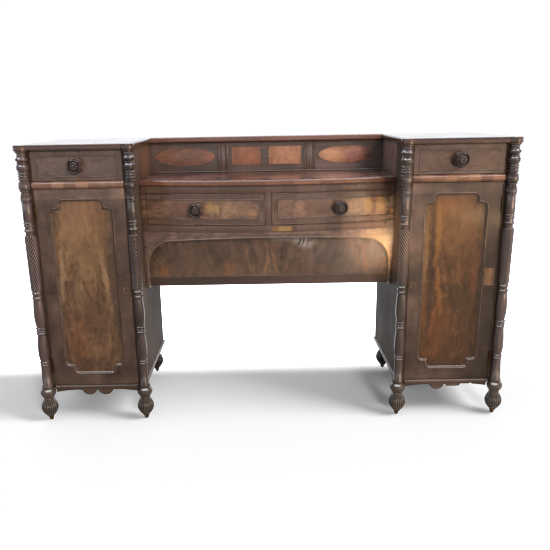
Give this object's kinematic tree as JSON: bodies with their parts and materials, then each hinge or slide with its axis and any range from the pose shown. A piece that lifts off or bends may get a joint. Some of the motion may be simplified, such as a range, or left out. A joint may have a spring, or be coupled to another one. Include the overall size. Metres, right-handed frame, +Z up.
{
  "type": "pedestal sideboard",
  "caption": "Mahogany pedestal sideboard with turned corner columns, cupboards, drawers, a recessed bow-fronted centre over an arch, and a low gallery.",
  "frame": {"origin": "on the floor, under the middle of the object's box", "axes": "+X to the right along the length, -Y towards the user at the front, +Z up"},
  "size_m": [1.863, 0.538, 1.1],
  "materials": {
    "carcase_mahogany": "aged mahogany veneer, wax over French polish",
    "crossbanded_mahogany": "crossbanded mahogany bead, polished",
    "top_mahogany": "dark mahogany top, polished",
    "flame_mahogany": "flame-figured mahogany veneer, French polish",
    "turned_mahogany": "turned and carved solid mahogany, polished",
    "knob_wood": "turned knob, nearly black with age",
    "drawer_oak": "dry oak drawer lining",
    "carcase_pine": "unpolished pine, dusty",
    "brass": "dull old brass",
    "castor_brass": "worn brass wheel"
  },
  "bodies": {
    "cabinet": {"left_pedestal_sides": "carcase_mahogany", "right_pedestal_sides": "carcase_mahogany", "left_pedestal_top": "top_mahogany", "right_pedestal_top": "top_mahogany", "pedestal_backs": "carcase_pine", "pedestal_floors": "carcase_pine", "pedestal_dividers": "carcase_pine", "pedestal_shelves": "carcase_pine", "mid_rails": "crossbanded_mahogany", "plinth_boards": "carcase_mahogany", "scalloped_aprons": "carcase_mahogany", "corner_columns": "turned_mahogany", "front_feet": "turned_mahogany", "back_feet": "turned_mahogany", "castor_sockets": "brass", "hinge_case_leaves": "brass", "serving_top": "top_mahogany", "centre_front_rails": "carcase_mahogany", "arch_apron": "carcase_mahogany", "recess_panel": "flame_mahogany", "centre_dust_board": "carcase_pine", "centre_back": "carcase_pine", "gallery_board": "carcase_mahogany", "gallery_cap": "top_mahogany"},
    "left_door": {"left_door_frame": "carcase_mahogany", "left_door_panel": "flame_mahogany", "left_door_hinges": "brass", "left_door_lock": "brass"},
    "right_door": {"right_door_frame": "carcase_mahogany", "right_door_panel": "flame_mahogany", "right_door_hinges": "brass", "right_door_lock": "brass"},
    "left_drawer": {"left_drawer_front": "carcase_mahogany", "left_drawer_box": "drawer_oak", "left_drawer_knob": "knob_wood"},
    "centre_left_drawer": {"centre_left_drawer_front": "flame_mahogany", "centre_left_drawer_box": "drawer_oak", "centre_left_drawer_knob": "knob_wood"},
    "right_drawer": {"right_drawer_front": "carcase_mahogany", "right_drawer_box": "drawer_oak", "right_drawer_knob": "knob_wood"},
    "centre_right_drawer": {"centre_right_drawer_front": "flame_mahogany", "centre_right_drawer_box": "drawer_oak", "centre_right_drawer_knob": "knob_wood"},
    "left_outer_front_castor": {"left_outer_front_castor_fork": "brass"},
    "left_outer_front_wheel": {"left_outer_front_castor_wheel": "castor_brass"},
    "left_inner_front_castor": {"left_inner_front_castor_fork": "brass"},
    "left_inner_front_wheel": {"left_inner_front_castor_wheel": "castor_brass"},
    "left_outer_back_castor": {"left_outer_back_castor_fork": "brass"},
    "left_outer_back_wheel": {"left_outer_back_castor_wheel": "castor_brass"},
    "left_inner_back_castor": {"left_inner_back_castor_fork": "brass"},
    "left_inner_back_wheel": {"left_inner_back_castor_wheel": "castor_brass"},
    "right_outer_front_castor": {"right_outer_front_castor_fork": "brass"},
    "right_outer_front_wheel": {"right_outer_front_castor_wheel": "castor_brass"},
    "right_inner_front_castor": {"right_inner_front_castor_fork": "brass"},
    "right_inner_front_wheel": {"right_inner_front_castor_wheel": "castor_brass"},
    "right_outer_back_castor": {"right_outer_back_castor_fork": "brass"},
    "right_outer_back_wheel": {"right_outer_back_castor_wheel": "castor_brass"},
    "right_inner_back_castor": {"right_inner_back_castor_fork": "brass"},
    "right_inner_back_wheel": {"right_inner_back_castor_wheel": "castor_brass"}
  },
  "joints": [
    {"name": "left_door_hinge", "type": "hinge", "parent": "cabinet", "child": "left_door", "pos_m": [-0.87425, -0.228, 0.542], "axis": [0, 0, -1], "range_deg": [0, 105]},
    {"name": "right_door_hinge", "type": "hinge", "parent": "cabinet", "child": "right_door", "pos_m": [0.87425, -0.228, 0.542], "axis": [0, 0, 1], "range_deg": [0, 105]},
    {"name": "left_drawer_slide", "type": "slide", "parent": "cabinet", "child": "left_drawer", "axis": [0, -1, 0], "range_m": [0, 0.3]},
    {"name": "centre_left_drawer_slide", "type": "slide", "parent": "cabinet", "child": "centre_left_drawer", "axis": [0, -1, 0], "range_m": [0, 0.22]},
    {"name": "right_drawer_slide", "type": "slide", "parent": "cabinet", "child": "right_drawer", "axis": [0, -1, 0], "range_m": [0, 0.3]},
    {"name": "centre_right_drawer_slide", "type": "slide", "parent": "cabinet", "child": "centre_right_drawer", "axis": [0, -1, 0], "range_m": [0, 0.22]},
    {"name": "left_outer_front_swivel", "type": "hinge", "parent": "cabinet", "child": "left_outer_front_castor", "pos_m": [-0.9, -0.236, 0.018], "axis": [0, 0, 1], "continuous": true},
    {"name": "left_outer_front_roll", "type": "hinge", "parent": "left_outer_front_castor", "child": "left_outer_front_wheel", "pos_m": [-0.9, -0.231, 0.008], "axis": [1, 0, 0], "continuous": true},
    {"name": "left_inner_front_swivel", "type": "hinge", "parent": "cabinet", "child": "left_inner_front_castor", "pos_m": [-0.51, -0.236, 0.018], "axis": [0, 0, 1], "continuous": true},
    {"name": "left_inner_front_roll", "type": "hinge", "parent": "left_inner_front_castor", "child": "left_inner_front_wheel", "pos_m": [-0.51, -0.231, 0.008], "axis": [1, 0, 0], "continuous": true},
    {"name": "left_outer_back_swivel", "type": "hinge", "parent": "cabinet", "child": "left_outer_back_castor", "pos_m": [-0.866, 0.233, 0.018], "axis": [0, 0, 1], "continuous": true},
    {"name": "left_outer_back_roll", "type": "hinge", "parent": "left_outer_back_castor", "child": "left_outer_back_wheel", "pos_m": [-0.866, 0.238, 0.008], "axis": [1, 0, 0], "continuous": true},
    {"name": "left_inner_back_swivel", "type": "hinge", "parent": "cabinet", "child": "left_inner_back_castor", "pos_m": [-0.544, 0.233, 0.018], "axis": [0, 0, 1], "continuous": true},
    {"name": "left_inner_back_roll", "type": "hinge", "parent": "left_inner_back_castor", "child": "left_inner_back_wheel", "pos_m": [-0.544, 0.238, 0.008], "axis": [1, 0, 0], "continuous": true},
    {"name": "right_outer_front_swivel", "type": "hinge", "parent": "cabinet", "child": "right_outer_front_castor", "pos_m": [0.9, -0.236, 0.018], "axis": [0, 0, 1], "continuous": true},
    {"name": "right_outer_front_roll", "type": "hinge", "parent": "right_outer_front_castor", "child": "right_outer_front_wheel", "pos_m": [0.9, -0.231, 0.008], "axis": [1, 0, 0], "continuous": true},
    {"name": "right_inner_front_swivel", "type": "hinge", "parent": "cabinet", "child": "right_inner_front_castor", "pos_m": [0.51, -0.236, 0.018], "axis": [0, 0, 1], "continuous": true},
    {"name": "right_inner_front_roll", "type": "hinge", "parent": "right_inner_front_castor", "child": "right_inner_front_wheel", "pos_m": [0.51, -0.231, 0.008], "axis": [1, 0, 0], "continuous": true},
    {"name": "right_outer_back_swivel", "type": "hinge", "parent": "cabinet", "child": "right_outer_back_castor", "pos_m": [0.866, 0.233, 0.018], "axis": [0, 0, 1], "continuous": true},
    {"name": "right_outer_back_roll", "type": "hinge", "parent": "right_outer_back_castor", "child": "right_outer_back_wheel", "pos_m": [0.866, 0.238, 0.008], "axis": [1, 0, 0], "continuous": true},
    {"name": "right_inner_back_swivel", "type": "hinge", "parent": "cabinet", "child": "right_inner_back_castor", "pos_m": [0.544, 0.233, 0.018], "axis": [0, 0, 1], "continuous": true},
    {"name": "right_inner_back_roll", "type": "hinge", "parent": "right_inner_back_castor", "child": "right_inner_back_wheel", "pos_m": [0.544, 0.238, 0.008], "axis": [1, 0, 0], "continuous": true}
  ]
}
